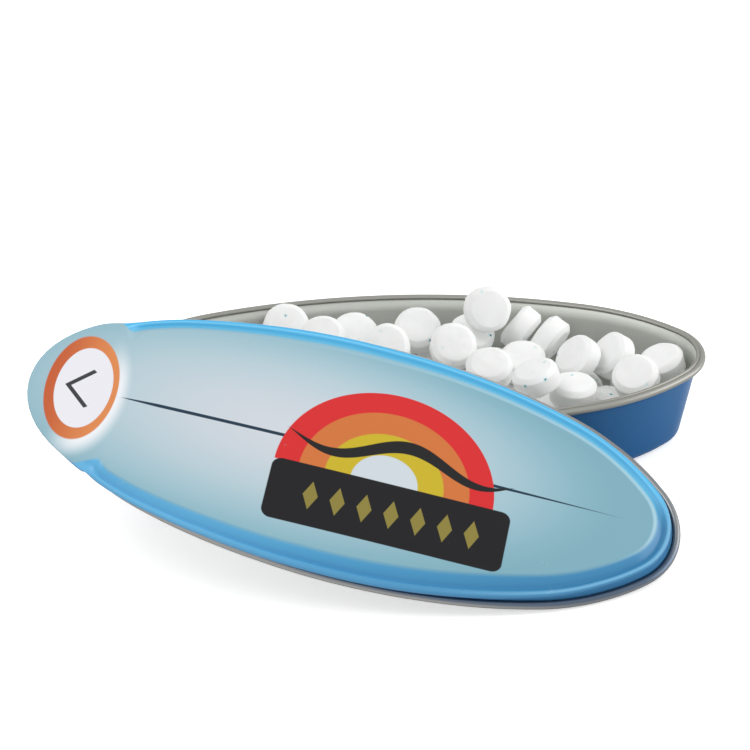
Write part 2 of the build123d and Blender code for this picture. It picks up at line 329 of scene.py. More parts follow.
def carry_tree():
    """Geometry: path wire. Section: profile wire. Two materials, chosen by the profile's zone."""
    tree = new_tree("carry section round path", "GeometryNodeTree",
                    {"Geometry": ["Geometry"], "Object": ["Section"],
                     "Material": ["Outside", "Inside"]}, {"Geometry": ["Geometry"]})
    start = add(tree, "NodeGroupInput")
    path = add(tree, "GeometryNodeMeshToCurve", {0: start.outputs["Geometry"]})
    level = add(tree, "GeometryNodeSetCurveNormal", {0: path}, mode="Z_UP")
    info = add(tree, "GeometryNodeObjectInfo", {"Object": start.outputs["Section"]})
    profile = add(tree, "GeometryNodeMeshToCurve", {0: info.outputs["Geometry"]})
    sweep = add(tree, "GeometryNodeCurveToMesh",
                {"Curve": level, "Profile Curve": profile})
    smooth = add(tree, "GeometryNodeSetShadeSmooth", {0: sweep})
    real = add(tree, "GeometryNodeRealizeInstances", {0: smooth})
    outer = add(tree, "GeometryNodeSetMaterial",
                {"Geometry": real, "Material": start.outputs["Outside"]})
    zone = add(tree, "GeometryNodeInputNamedAttribute", {"Name": "zone"}, data_type="INT")
    inner = add(tree, "GeometryNodeSetMaterial",
                {"Geometry": outer, "Selection": zone,
                 "Material": start.outputs["Inside"]})
    add(tree, "NodeGroupOutput", {0: inner})
    return tree


CARRY = carry_tree()
print("tree inputs:", [i.name for i in CARRY.interface.items_tree if i.in_out == "INPUT"])

# %% [markdown]
# A tree only shows its result for as long as it sits on an object. `run_tree` bakes that result
# into a plain mesh. The other helpers make a mesh from rings of points, a piece from a mesh, and
# tidy up where points are doubled, which a swept or turned shape always leaves behind.

# %% Helpers for meshes
def run_tree(obj, tree, values):
    """Puts the tree on the object, sets its named inputs and returns the plain mesh it makes."""
    modifier = obj.modifiers.new("tree", "NODES")
    modifier.node_group = tree
    for item in tree.interface.items_tree:
        if item.in_out == "INPUT" and item.name in values:
            modifier[item.identifier] = values[item.name]
    obj.update_tag()
    bpy.context.view_layer.update()
    finished = obj.evaluated_get(bpy.context.evaluated_depsgraph_get())
    mesh = bpy.data.meshes.new_from_object(finished)
    obj.modifiers.remove(modifier)
    return mesh


def skin(name, rings, smooth=True):
    """Faces between rings of equally many points in mm. The last ring meets the first."""
    n, m = len(rings), len(rings[0])
    mesh = bpy.data.meshes.new(name)
    mesh.from_pydata([(p[0] * MM, p[1] * MM, p[2] * MM) for ring in rings for p in ring], [],
                     [(i * m + j, i * m + j + 1, (i + 1) % n * m + j + 1, (i + 1) % n * m + j)
                      for i in range(n) for j in range(m - 1)])
    mesh.polygons.foreach_set("use_smooth", [smooth] * len(mesh.polygons))
    return mesh


def new_piece(name, mesh, *materials):
    """A finished piece at the origin, whose place is in its mesh."""
    mesh.name = name
    piece = new_object(name, mesh)
    kept = [polygon.material_index for polygon in mesh.polygons]
    mesh.materials.clear()
    for material in materials:
        mesh.materials.append(material)
    mesh.polygons.foreach_set("material_index", [min(k, len(materials) - 1) for k in kept])
    return piece


def tidy(mesh, distance=1e-6, caps=False):
    """Merges doubled points, caps open ends if asked, and turns every face outwards."""
    bm = bmesh.new()
    bm.from_mesh(mesh)
    bmesh.ops.remove_doubles(bm, verts=bm.verts, dist=distance)
    if caps:
        bmesh.ops.holes_fill(bm, edges=[e for e in bm.edges if e.is_boundary])
    bmesh.ops.recalc_face_normals(bm, faces=bm.faces)
    bm.to_mesh(mesh)
    bm.free()


print("mesh helpers ready")

# %% [markdown]
# ## Finishes: what print and tinplate have in common
# Printed tin is a smooth sheet under clear lacquer. Two things break its perfection: a faint
# unevenness in the gloss, and tiny scuffs where the edges have rubbed. Both are wanted in every
# metal finish here, so they become one node group that is placed in each material with its own
# values. The group only puts out numbers and colours, and the shader stays in the material.

# %% Wear group
def wear_group():
    """Colour in, colour out with rubbed spots, and a roughness that wanders a little."""
    tree = new_tree("rubbed lacquer", "ShaderNodeTree",
                    {"Color": ["Color", "Worn Color"], "Float": ["Wear", "Roughness", "Grain"]},
                    {"Color": ["Color"], "Float": ["Roughness", "Height"]})
    start = add(tree, "NodeGroupInput")
    place = add(tree, "ShaderNodeTexCoord").outputs["Object"]
    cloud = noise(place, 90.0, 3.0)
    fine = noise(place, 900.0, 4.0, 0.7)
    rubbed = soft_step(fine * cloud, 0.40, 0.46) * start.outputs["Wear"]
    colour = mix_colours(rubbed, start.outputs["Color"], start.outputs["Worn Color"])
    wander = (cloud - 0.5) * start.outputs["Grain"]
    rough = maths("ADD", start.outputs["Roughness"], wander, clamp=True)
    add(tree, "NodeGroupOutput", {"Color": colour, "Roughness": rough, "Height": fine})
    return tree


WEAR = wear_group()


def new_material(name, values=()):
    """A Principled shader with these values: (the material, its tree, the shader)."""
    material = bpy.data.materials.new(name)
    material.use_nodes = True
    tree = material.node_tree
    tree.nodes.clear()
    shader = add(tree, "ShaderNodeBsdfPrincipled", values)
    add(tree, "ShaderNodeOutputMaterial", {"Surface": shader.outputs["BSDF"]})
    return material, tree, shader


def with_wear(tree, shader, colour, worn, wear, roughness, grain, bump):
    """Feeds the shader from the wear group, and its fine grain into a slight bump."""
    group = add(tree, "ShaderNodeGroup",
                {"Color": colour, "Worn Color": worn, "Wear": wear, "Roughness": roughness,
                 "Grain": grain}, node_tree=WEAR)
    feed(group.outputs["Color"], shader.inputs["Base Color"])
    feed(group.outputs["Roughness"], shader.inputs["Roughness"])
    slight = add(tree, "ShaderNodeBump",
                 {"Strength": bump, "Distance": 0.02 * MM, "Height": group.outputs["Height"]})
    feed(slight.outputs["Normal"], shader.inputs["Normal"])


print("wear group outputs:", [s.name for s in WEAR.interface.items_tree if s.in_out == "OUTPUT"])

# %% [markdown]
# ## Bare tinplate and blue enamel
# The inside of the tin is bare tinplate, more satin than mirror. The rolled rim is the same
# metal, a little more rubbed, and painted darker as painted shade, so it gets a material of its
# own. The outside of the tin is printed a deep even blue under lacquer.

# %% Tinplate and blue
tinplate, tree, shader = new_material("satin tinplate", {"Metallic": 0.6})
with_wear(tree, shader, linear(198, 200, 194), linear(149, 148, 143), 0.3, 0.5, 0.2, 0.25)

# Painted shade: the rim's colour is darker than that of the same tinplate inside.
shaded_rim_metal, tree, shader = new_material("rolled tinplate edge in painted shade", {"Metallic": 0.85})
with_wear(tree, shader, linear(150, 150, 144), linear(106, 105, 100), 0.4, 0.4, 0.2, 0.3)

hull_blue, tree, shader = new_material("blue printed tin", {
    "Specular IOR Level": 0.12, "Coat Weight": 0.25, "Coat Roughness": 0.12})
with_wear(tree, shader, linear(20, 94, 150), linear(100, 144, 178), 0.10, 0.36, 0.1, 0.1)
print("materials:", tinplate.name, shaded_rim_metal.name, hull_blue.name)

# %% [markdown]
# ## The open tin
# The section starts in the middle of the base, turns up through a rounded foot, leans out along
# the wall and ends under a small ridge and a rolled rim. The inner face is the outer line moved
# by the thickness of the sheet. The roll and the ridge are beads on top of that, carried round
# by the same tree.

# %% The open tin
HEIGHT = 17.5
ROLL_D, RIDGE_D, ROLL_DROP, ROLL_LAP = 1.3, 0.7, 0.12, 0.25
RIDGE_X = -ROLL_D - RIDGE_D / 2 + ROLL_LAP
WALL_X = RIDGE_X + SHEET / 2
FOOT_X = WALL_X - 3.4
FOOT_R = 2.6
BORDER_X = FOOT_X - FOOT_R - 3.4
PLATE_SHARE = 0.8

path = wire("outline path", [outline_at(a)[0] for a in ROUND])
wall_corners = [(BORDER_X, 0), (FOOT_X, 0), (WALL_X, HEIGHT - RIDGE_D / 2)]
wall_line = divided(rounded(wall_corners, [FOOT_R], steps=8), 3.0)
inner_line = beside(wall_line, SHEET)
wall_ring = wall_line + inner_line[::-1]
wall_zones = [0] * len(wall_line) + [1] * len(inner_line)


def section_wire(name, points, zones):
    """A section for the tree, which lays a profile's second axis downwards, so up is negative."""
    return wire(name, [(p[0], -p[1]) for p in points], zones=zones)


wall_section = section_wire("wall section", wall_ring, wall_zones)


def bead_section(name, diameter, x, y, sides=16):
    """A round bead at a place of the section, all of it bare metal."""
    points = [(x + diameter / 2 * math.cos(2 * math.pi * k / sides),
               y + diameter / 2 * math.sin(2 * math.pi * k / sides)) for k in range(sides)]
    return section_wire(name, points, [1] * sides)


roll_section = bead_section("roll section", ROLL_D, -ROLL_D / 2, HEIGHT - ROLL_DROP - ROLL_D / 2)
ridge_section = bead_section("ridge section", RIDGE_D, RIDGE_X, HEIGHT - RIDGE_D / 2)


def base_plate(z):
    """The middle of the base: flat, from the wall's border to a line in the middle."""
    ring = [point + out * BORDER_X for point, out in map(outline_at, ROUND)]
    return skin("base plate", [[(p.x, p.y, z), (p.x * PLATE_SHARE, 0.0, z)] for p in ring], False)


BARE_EDGE = 2
tin_bm = bmesh.new()
for section in (wall_section, roll_section, ridge_section):
    mesh = run_tree(path, CARRY, {"Section": section, "Outside": hull_blue, "Inside": tinplate})
    tidy(mesh, 1e-7)
    if section is not wall_section:
        mesh.polygons.foreach_set("material_index", [BARE_EDGE] * len(mesh.polygons))
    tin_bm.from_mesh(mesh)
    print(section.name, len(mesh.polygons), "faces", [m.name for m in mesh.materials])
for height, material in ((0.0, 0), (SHEET, 1)):
    mesh = base_plate(height)
    if (mesh.polygons[0].normal.z > 0) != (height > 0):
        mesh.flip_normals()
    mesh.polygons.foreach_set("material_index", [material] * len(mesh.polygons))
    tin_bm.from_mesh(mesh)
tin_mesh = bpy.data.meshes.new("tin")
tin_bm.to_mesh(tin_mesh)
tin_bm.free()
tin = new_piece("open_tin", tin_mesh, hull_blue, tinplate, shaded_rim_metal)
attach(tin, "body")
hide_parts("tin_body")
highest = max(v.co.z for v in tin_mesh.vertices) / MM
print("open tin:", len(tin_mesh.polygons), "faces; highest point", round(highest, 2), "mm")

# %% [markdown]
# ## Where the lid is
# The lid lies on its rolled edge and leans on the rim. It is easier to shape it flat, in its own
# coordinates with the origin in its middle, and then to move every point by one matrix. The same
# matrix, turned round, takes a point of the leaning lid back to lid coordinates, and the print
# is painted there: a Mapping node with that turn and shift does it inside the material.

# %% Place of the lid
LID_TILT = Euler((math.radians(22.9), math.radians(12.36), math.radians(-9.1)), "XYZ")
LID_PLACE = Vector((-9.688, -36.417, 15.862)) * MM
lid_matrix = Matrix.Translation(LID_PLACE) @ LID_TILT.to_matrix().to_4x4()
back_turn = LID_TILT.to_matrix().transposed()
back_shift = -(back_turn @ LID_PLACE)


def lid_coordinates(tree):
    """x, y and z of a point of the lid in its own millimetres."""
    place = add(tree, "ShaderNodeTexCoord").outputs["Object"]
    turned = add(tree, "ShaderNodeMapping", {"Vector": place, "Location": tuple(back_shift),
                                             "Rotation": back_turn.to_euler("XYZ")})
    in_mm = add(tree, "ShaderNodeVectorMath", {0: turned, "Scale": 1000.0},
                operation="SCALE")
    apart = add(tree, "ShaderNodeSeparateXYZ", {0: in_mm})
    return [Field(output) for output in apart.outputs]


print("lid middle at", [round(v / MM, 2) for v in LID_PLACE], "mm")

# %% [markdown]
# ## The print on the lid
# The lid is printed like a surfboard: an airbrushed panel that is lavender in the middle and teal
# towards its edges, a fine pinline along it, a striped sun with a dark wave, a black plaque, and
# an orange ring on the press tab. Each shape is a mask worked out from x and y, with an edge
# about a tenth of a millimetre soft, and each mask lays its colour over what lies below.

# %% Masks for the print
EDGE = 0.09


def length_of(a, b):
    """Length of (a, b)."""
    return maths("SQRT", a * a + b * b)


def oval_distance(x, y, cx, cy, a, b):
    """About how many mm a point lies outside an oval with those half axes."""
    return (length_of((x - cx) / a, (y - cy) / b) - 1.0) * ((a + b) / 2)


def box_distance(x, y, cx, cy, half_x, half_y, radius):
    """How many mm a point lies outside a box with rounded corners."""
    u = abs(x - cx) - (half_x - radius)
    v = abs(y - cy) - (half_y - radius)
    outside = length_of(maths("MAXIMUM", u, 0.0), maths("MAXIMUM", v, 0.0))
    within = maths("MINIMUM", maths("MAXIMUM", u, v), 0.0)
    return outside + within - radius


def inside(distance, edge=EDGE):
    """1 where a distance is below zero, 0 above it."""
    return soft_fall(distance, -edge, edge)


print("print edges are", EDGE, "mm soft")

# %% [markdown]
# The airbrushed ground is a ramp over the distance from one point, counted in ovals. The lid's
# mesh also brings two numbers of its own, `across` and `beyond`, which the border needs later.

# %% The printed panel
AIR_X, AIR_Y, AIR_HALF_X, AIR_HALF_Y = -14.5, 1.2, 59.5, 25.0

lid_print, tree, shader = new_material("printed lid", {
    "Specular IOR Level": 0.2, "Coat Roughness": 0.18})
x, y, _ = lid_coordinates(tree)
across, beyond = [Field(add(tree, "ShaderNodeAttribute", attribute_name=name).outputs["Fac"])
                  for name in ("across", "beyond")]
colour = ramp(length_of((x - AIR_X) / AIR_HALF_X, (y - AIR_Y) / AIR_HALF_Y),
              (0.0, (210, 215, 223)), (0.28, (201, 211, 219)), (0.52, (184, 205, 214)),
              (0.72, (161, 194, 206)), (0.90, (136, 179, 193)), (1.0, (128, 173, 188)))
print("airbrushed ground round", (AIR_X, AIR_Y))

# %% [markdown]
# The pinline is a very long, thin diamond: its half width shrinks towards both ends. It rises
# very slightly to the right.

# %% Pinline
PIN_LEFT, PIN_RIGHT, PIN_LEFT_TAPER, PIN_RIGHT_TAPER = -45.6, 46.0, 8.5, 24.0
PIN_HALF, PIN_RISE, PIN_EDGE = 0.34, 0.0045, 0.06

taper = maths("MINIMUM", (x - PIN_LEFT) / PIN_LEFT_TAPER, (PIN_RIGHT - x) / PIN_RIGHT_TAPER)
half_line = maths("MINIMUM", taper, 1.0) * PIN_HALF
pinline = inside(abs(y - x * PIN_RISE) - half_line, PIN_EDGE)
colour = lay(pinline, colour, 30, 54, 72)
print("pinline from", PIN_LEFT, "to", PIN_RIGHT)

# %% [markdown]
# The striped sun is a half disc of three rings that stands on the plaque, and the wave is a band
# round a sine line, thick in the middle and pointed at its ends.

# %% Striped sun and wave
SUN_X, SUN_Y = 4.5, -5.2
SUN_RINGS = ((19.6, (214, 46, 48)), (15.2, (208, 118, 62)),
             (10.6, (201, 178, 44)), (6.0, (206, 216, 222)))
WAVE_START, WAVE_PACE, WAVE_SWING, WAVE_Y = 1.0, 4.3, 2.3, 1.2
WAVE_X, WAVE_HALF_X, WAVE_HALF_Y = 6.5, 20.5, 1.35

reach = length_of(x - SUN_X, y - SUN_Y)
above = inside(SUN_Y - y)
for radius, shade in SUN_RINGS:
    colour = lay(inside(reach - radius) * above, colour, *shade)

swell = maths("SINE", (x - WAVE_START) / WAVE_PACE) * WAVE_SWING + WAVE_Y
along = (x - WAVE_X) / WAVE_HALF_X
half_wave = (1.0 - along * along) * WAVE_HALF_Y
colour = lay(inside(abs(y - swell) - half_wave), colour, 28, 28, 29)
print("sun of", len(SUN_RINGS), "discs")

# %% [markdown]
# The plaque is plain black with a row of gold lozenges, and the tab carries its orange ring
# with a pale middle, a dark arrow that points outwards and a soft white glow on the inner side.
# `PINGPONG` counts up and down, so one lozenge formula repeats along x.

# %% Plaque and press ring
PLAQUE_X, PLAQUE_Y, PLAQUE_BOX, ROW_BOX = 6.1, -11.1, (21.4, 6.2, 1.8), (16.8, 4.0, 0.5)
LOZENGE_GAP, LOZENGE_HALF_X, LOZENGE_HALF_Y = 2.4, 1.35, 2.9
RING_X, RING_Y, RING_SHIFT = -50.9, 0.35, 0.35
RING_OUTER, RING_INNER, ARROW_OVAL = (6.3, 11.4), (4.95, 8.8), (3.4, 4.6)
ARROW_TIP, ARROW_ARM, ARROW_HALF = 1.4, 1.0, 0.55

plaque = inside(box_distance(x, y, PLAQUE_X, PLAQUE_Y, *PLAQUE_BOX))
colour = lay(plaque, colour, 23, 23, 26)
off_x = maths("PINGPONG", x + (100.0 - PLAQUE_X), LOZENGE_GAP)
lozenge = off_x / LOZENGE_HALF_X + abs(y - PLAQUE_Y) / LOZENGE_HALF_Y
row = inside(box_distance(x, y, PLAQUE_X, PLAQUE_Y, *ROW_BOX))
colour = lay(inside(lozenge - 1.0, 0.05) * row, colour, 140, 128, 62)

outer = oval_distance(x, y, RING_X, RING_Y, *RING_OUTER)
inner = oval_distance(x, y, RING_X + RING_SHIFT, RING_Y, *RING_INNER)
glow = soft_fall(outer, 0.1, 3.4) * soft_step(x - y * 0.35, -52.0, -44.5)
colour = lay(glow, colour, 240, 244, 248)
orange = lay(soft_step(x, -57.0, -46.0), linear(198, 96, 56), 224, 140, 84)
colour = mix_colours(inside(outer, 0.16), colour, orange)
colour = lay(inside(inner), colour, 236, 236, 242)
arm = abs(y - RING_Y) + (RING_X - ARROW_TIP - x)
room = inside(oval_distance(x, y, RING_X, RING_Y, *ARROW_OVAL))
colour = lay(inside(abs(arm - ARROW_ARM) - ARROW_HALF) * room, colour, 60, 60, 66)
print("ring at", (RING_X, RING_Y))

# %% [markdown]
# The bead and the groove round the panel are printed blue, and the skirt almost navy. Two
# numbers are stored on the lid's points: `across` counts the millimetres of sheet from the
# bottom of the skirt over the bead towards the panel, and `beyond` those past the edge of the
# blue print. The sheet was not quite centred under the press, so the blue ends in the groove at
# the back, and only at the top of the slope in front. What is left of the slope shows the panel's
# ground, and at the back and the right end a pale painted highlight lies on it. Light is painted
# into the blue as well: the back is painted lighter than the front, with a painted highlight
# along the bead's shoulder, and the front has a painted highlight along the bead's outer corner
# towards the right end. The front is also darker towards its right end and lighter towards its
# left end.

# %% Blue border of the lid
PRINT_EDGE, PRINT_SHIFT, PRINT_SOFT = 5.7, 0.85, 0.55

near = ramp(across / 8.0,
            (0.0, (96, 156, 206)), (0.20, (84, 146, 198)), (0.25, (82, 158, 204)),
            (0.40, (84, 162, 208)), (0.52, (59, 141, 192)), (0.62, (75, 158, 207)),
            (0.86, (86, 173, 217)))
near = lay(soft_step(x, -25.0, 45.0) * 0.55, near, 34, 108, 154)
light_end = soft_fall(x, -40.0, 0.0) * soft_step(across, 1.6, 2.2)
near = lay(light_end * 0.45, near, 116, 197, 240)
# ridge: a painted highlight along the outer corner of the bead, towards the right end.
ridge = soft_step(across, 2.1, 2.6) * soft_fall(across, 2.7, 3.2) * soft_step(x, 10.0, 45.0)
near = lay(ridge * 0.55, near, 140, 204, 240)
# far: the back of the border, painted lighter than the front, with a painted highlight along the
# bead's shoulder.
far = ramp(across / 8.0,
           (0.0, (52, 98, 138)), (0.19, (40, 90, 134)), (0.25, (104, 196, 236)),
           (0.32, (64, 176, 230)), (0.38, (116, 206, 248)), (0.44, (72, 178, 228)),
           (0.54, (100, 188, 226)))
border = mix_colours(soft_step(y, 0.0, 9.0), near, far)
# pale: a painted highlight along the top of the slope, at the back and the right end only.
pale = soft_fall(across, 6.3, 6.9) * soft_step(x, -30.0, 40.0) * soft_step(y, -15.0, -3.0)
colour = lay(pale * 0.5, colour, 182, 219, 232)
on_border = soft_fall(beyond, -PRINT_SOFT, PRINT_SOFT)
colour = mix_colours(on_border, colour, border)
feed(on_border * 0.4, shader.inputs["Coat Weight"])
with_wear(tree, shader, colour, linear(200, 214, 220), 0.10, 0.34, 0.1, 0.08)
print("printed lid:", len(tree.nodes), "nodes")

# %% [markdown]
# ## The pressed sheet of the lid
# From its edge inwards the sheet climbs the skirt, goes over a bead, down into a groove and up a
# slope to the crowned panel. At the left end all of that stops, and the panel runs on as a
# sloping press tab. No single tree draws that change, so this mesh is laid out ring by ring:
# points round the oval, whose outer rows follow the section, and whose inner rows close in on a
# line along the middle. Near the tab each row slides over to the tab's own outline and height.

# %% Height of panel and tab
SKIRT_X = 0.15 + SHEET
SKIRT_BOTTOM, SKIRT_TOP, BEAD_TOP = 0.75, 2.4, 3.0
SHOULDER_X = SKIRT_X - 1.15
GROOVE_X = SHOULDER_X - 0.9
PANEL_X = GROOVE_X - 2.4
GROOVE_Y = BEAD_TOP - 0.55
PANEL_Y = GROOVE_Y + 1.25
TAB_ROOT, TAB_SLOPE, EDGE_END = 44.5, 4.0, 122.0
TAB_OVAL_X, TAB_OVAL_LENGTH, TAB_OVAL_WIDTH = -36.0, 24.2, 18.3
CROWN, CROWN_ANGLE, CROWN_INSET = 0.7, 50.0, 5.68
CREASE_SOFT = 1.2


def panel_height(x, y):
    """Top of the panel and tab in mm: a low crown, and past the crease a slight slope."""
    reach = math.sin(math.radians(CROWN_ANGLE))
    low = math.cos(math.radians(CROWN_ANGLE))
    u, v = x / (HALF_LENGTH - CROWN_INSET), y / (HALF_WIDTH - CROWN_INSET)
    rho = reach ** 2 * (u ** 2 + v ** 2)
    crown = CROWN * max(0.0, (math.sqrt(max(0.0, 1 - rho)) - low) / (1 - low))
    past = -x - TAB_ROOT
    ramp_in = (past + math.sqrt(past * past + CREASE_SOFT)) / 2
    return PANEL_Y + crown - math.tan(math.radians(TAB_SLOPE)) * ramp_in


section = rounded([(0.0, SKIRT_BOTTOM), (0.0, BEAD_TOP), (SHOULDER_X - SKIRT_X, BEAD_TOP),
                   (GROOVE_X - SKIRT_X, GROOVE_Y), (PANEL_X - SKIRT_X, PANEL_Y),
                   (PANEL_X - SKIRT_X - 2.6, PANEL_Y)], [0.6, 0.45, 0.7, 0.8], steps=6)
section = divided(section, 0.6)
run = [0.0]
for a, b in zip(section, section[1:]):
    run.append(run[-1] + (b - a).length)
print("lid section:", len(section), "points,", round(run[-1], 2), "mm of sheet")

# %% [markdown]
# Seen closely, the pressed top is not quite parallel to the rolled edge below it. The bead
# stands further out towards the tab and is drawn in at the right end, the border is narrower at
# both ends, and the rolled edge is tucked in along the near side. These differences have no
# simple rule, so each one is a short table of values along the lid, read with `np.interp`: one
# row for the far side and one for the near side.

# %% How bead and rolled edge wander
def smooth(value, low, high):
    """0 below low, 1 above high, smooth between, for plain numbers."""
    t = min(1.0, max(0.0, (value - low) / (high - low)))
    return t * t * (3 - 2 * t)


BEAD_OUT = (((-46, -43, -40, -34, -25, -16, 2, 21, 40, 52),
             (2.6, 2.1, 1.9, 1.65, 1.3, 1.07, 0.55, 0.4, 0.05, -0.2)),
            ((-46, -43, -40, -24, -6, 11, 28, 45, 52),
             (2.15, 2.2, 2.0, 1.2, 0.8, 0.65, 0.3, -0.3, -0.2)))
BORDER_SHARE = (((-46, -33, -16, 3, 21, 41, 52), (0.62, 0.73, 0.91, 0.91, 0.86, 0.80, 0.80)),
                ((-46, -25, -7, 10, 27, 44, 52), (0.60, 0.76, 0.92, 0.98, 0.98, 0.82, 0.80)))
EDGE_OUT = (((-46, 30, 50, 56), (1.16, 1.16, 1.1, 1.1)),
            ((-46, -30, -14, 4, 14, 29, 46, 56), (0.2, 0.15, -0.1, 0.0, 0.15, 0.5, 0.75, 1.1)))


def from_tables(point, tables):
    """A value along the lid: the first table at the back, the second in front, blended between."""
    back = smooth(point.y, -6.0, 6.0)
    far, near = [float(np.interp(point.x, *table)) for table in tables]
    return far * back + near * (1 - back)


print("bead outset at tab, middle, right end:",
      [round(from_tables(Vector((x, -9)), BEAD_OUT), 2) for x in (-45, 0, 50)])

# %% [markdown]
# A ring starts at the skirt. Near the tab its rows slide over to the tab's outline: there the
# skirt and the bead shrink to nothing within LIP millimetres of sheet, so that the tab has a
# plain, slightly turned down edge. All rings end on the spine, a line in the middle of the panel
# that both sides share. The slide happens over a few degrees of the outline, ON_TAB, and the
# blue border thins out over a longer stretch, WEDGE, which differs between far and near side.

# %% Rings of the lid
INNER_ROWS, SPINE_SHARE = 16, 0.84
FAR_IN, PAST_PRINT = 9.0, 3.0
LIP, LIP_DROP = 2.1, 0.35
EDGE_INSET = 0.69
TAB_Y, TAB_CORNER, TAB_DRAW = 0.15, 1.4, 0.02
TAB_START = math.degrees(math.acos((-TAB_ROOT - TAB_CORNER - TAB_OVAL_X) / TAB_OVAL_LENGTH))
FLARE_FAR, FLARE_NEAR = (-0.035, 12), (0.045, 15)
ON_TAB = (EDGE_END - 3.5, EDGE_END + 2.5)
WEDGE_FAR, WEDGE_NEAR = (EDGE_END - 2.0, EDGE_END + 6.0), (EDGE_END - 2.0, EDGE_END + 12.0)
CROWN_FROM = 4.0


def tab_edge_at(angle):
    """Point of the tab's own outline for an angle past the end of the rolled edge."""
    past = max(0.0, abs(angle) - EDGE_END)
    turn = math.radians(TAB_START + past * (180 - TAB_START) / (180 - EDGE_END))
    side = 1 if angle > 0 else -1
    flare, fade = FLARE_FAR if side > 0 else FLARE_NEAR
    width = TAB_OVAL_WIDTH * (1 + flare * (1 - smooth(past, 0, fade)))
    return Vector((TAB_OVAL_X + TAB_OVAL_LENGTH * math.cos(turn),
                   TAB_Y + side * width * math.sin(turn)))


def lid_row_points(angle):
    """One ring, from the bottom of the skirt to the spine: (x, y, z, across, beyond)."""
    point, out = outline_at(angle)
    on_tab = smooth(abs(angle), *ON_TAB)
    wedge = smooth(abs(angle), *(WEDGE_FAR if angle > 0 else WEDGE_NEAR))
    border = (PRINT_EDGE - PRINT_SHIFT * out.y) * (1 - wedge)
    bead = from_tables(point, BEAD_OUT)
    share = from_tables(point, BORDER_SHARE)
    low_out = from_tables(point, EDGE_OUT) - EDGE_INSET
    tab_edge = tab_edge_at(angle)
    spine = Vector((point.x * SPINE_SHARE, 0.0))
    inward = (spine - tab_edge).normalized()
    points = []
    for place, length in zip(section, run):
        up = smooth(place.y, SKIRT_BOTTOM, SKIRT_TOP)
        plain = point + out * (low_out + (bead - low_out) * up + place.x * share)
        drawn = max(0.0, length - LIP) + TAB_DRAW * length
        flat = plain.lerp(tab_edge + inward * drawn, on_tab)
        edge_drop = LIP_DROP * max(0.0, 1 - length / LIP) ** 1.5
        panel = panel_height(flat.x, flat.y)
        height = place.y + (panel - PANEL_Y) * smooth(length, CROWN_FROM, run[-1])
        height += (panel - edge_drop - height) * on_tab
        points.append((flat.x, flat.y, height, length, length - border))
    last = Vector(points[-1][:2])
    for k in range(1, INNER_ROWS + 1):
        flat = last.lerp(spine, k / INNER_ROWS)
        height = panel_height(flat.x, flat.y)
        points.append((flat.x, flat.y, height, FAR_IN + k, PAST_PRINT + k))
    return points


close_to_tab = {EDGE_END + d / 2 for d in range(-10, 15)}
half_round = set(outline_angles(0.0, 180.0)) | close_to_tab
lid_angles = sorted(half_round | {-angle for angle in half_round if 0 < angle < 180})
rings = [lid_row_points(angle) for angle in lid_angles]
mesh = skin("lid pressing", rings)
for name, place in (("across", 3), ("beyond", 4)):
    layer = mesh.attributes.new(name, "FLOAT", "POINT")
    layer.data.foreach_set("value", [p[place] for ring in rings for p in ring])
mesh.transform(lid_matrix)
lid_top = new_piece("lid_pressing", mesh, lid_print, tinplate)
print("lid pressing:", len(mesh.polygons), "faces")

# %% [markdown]
# So far the lid is a skin without thickness. An open skin has no outside, so the code makes
# sure that its faces look up. A Solidify modifier then gives it the thickness of the sheet, and
# the new inner side takes the second material: inside, a printed lid is bare tinplate.

# %% Thickness of the lid
tidy(mesh)
up = lid_matrix.to_3x3() @ Vector((0, 0, 1))
if sum(face.normal.dot(up) * face.area for face in mesh.polygons) < 0:
    mesh.flip_normals()
solid = lid_top.modifiers.new("sheet", "SOLIDIFY")
solid.thickness = SHEET * MM
solid.offset = -1.0
solid.material_offset = 1
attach(lid_top, "lid")
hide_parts("lid")
print("sheet thickness", solid.thickness)

# %% [markdown]
# The rolled edge is a round bead carried by the same tree round the part of the outline that has
# a skirt. Its path is open, so `tidy` caps its two ends. It is bare metal with painted shade: it
# is darker towards the right end, and on its upper side in front it gets dark blue, painted shade
# under the skirt with the skirt's blue painted in as its reflection.

# %% Rolled edge of the lid
curl_metal, tree, shader = new_material("lid edge with painted skirt shade", {"Metallic": 0.9})
x, y, z = lid_coordinates(tree)
# Painted shade: the bare metal is made darker towards the right end.
metal = lay(soft_step(x, 15.0, 50.0), linear(164, 163, 160), 130, 133, 135)
# Painted shade and a painted blue reflection of the skirt on the upper side of the curl in front.
painted_skirt_shade = soft_step(z, 1.0, 1.4) * soft_step(x, -40.0, 20.0) * soft_fall(y, -6.0, 3.0)
metal = lay(painted_skirt_shade * 0.8, metal, 64, 84, 108)
with_wear(tree, shader, metal, linear(112, 114, 114), 0.35, 0.3, 0.2, 0.3)

CURL_D = 1.5
edge_points = [point + out * from_tables(point, EDGE_OUT)
               for point, out in map(outline_at, outline_angles(-EDGE_END + 1, EDGE_END - 1))]
edge_path = wire("edge path", edge_points, closed=False)
curl_section = bead_section("curl section", CURL_D, 0.0, CURL_D / 2)
mesh = run_tree(edge_path, CARRY,
                {"Section": curl_section, "Outside": curl_metal, "Inside": curl_metal})
tidy(mesh, 1e-7, caps=True)
mesh.transform(lid_matrix)
curl = new_piece("lid_rolled_edge", mesh, curl_metal)
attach(curl, "lid")
print("rolled edge:", len(mesh.polygons), "faces")

# %% [markdown]
# ## The mints
# Each CAD mint is a plain disc. The finer mint keeps its place and its tilt: they are read from
# the loose pieces of the CAD meshes. A mint's middle is the mean of its points, and its axis is
# the direction in which they spread least. One good mint is turned on a lathe, and a Geometry
# Nodes tree puts a copy at every place, turns it, and roughens all of them with a little noise,
# so that no two have the same edge.

# %% Places of the mints
MINT_R, MINT_HALF = 4.4, 2.35


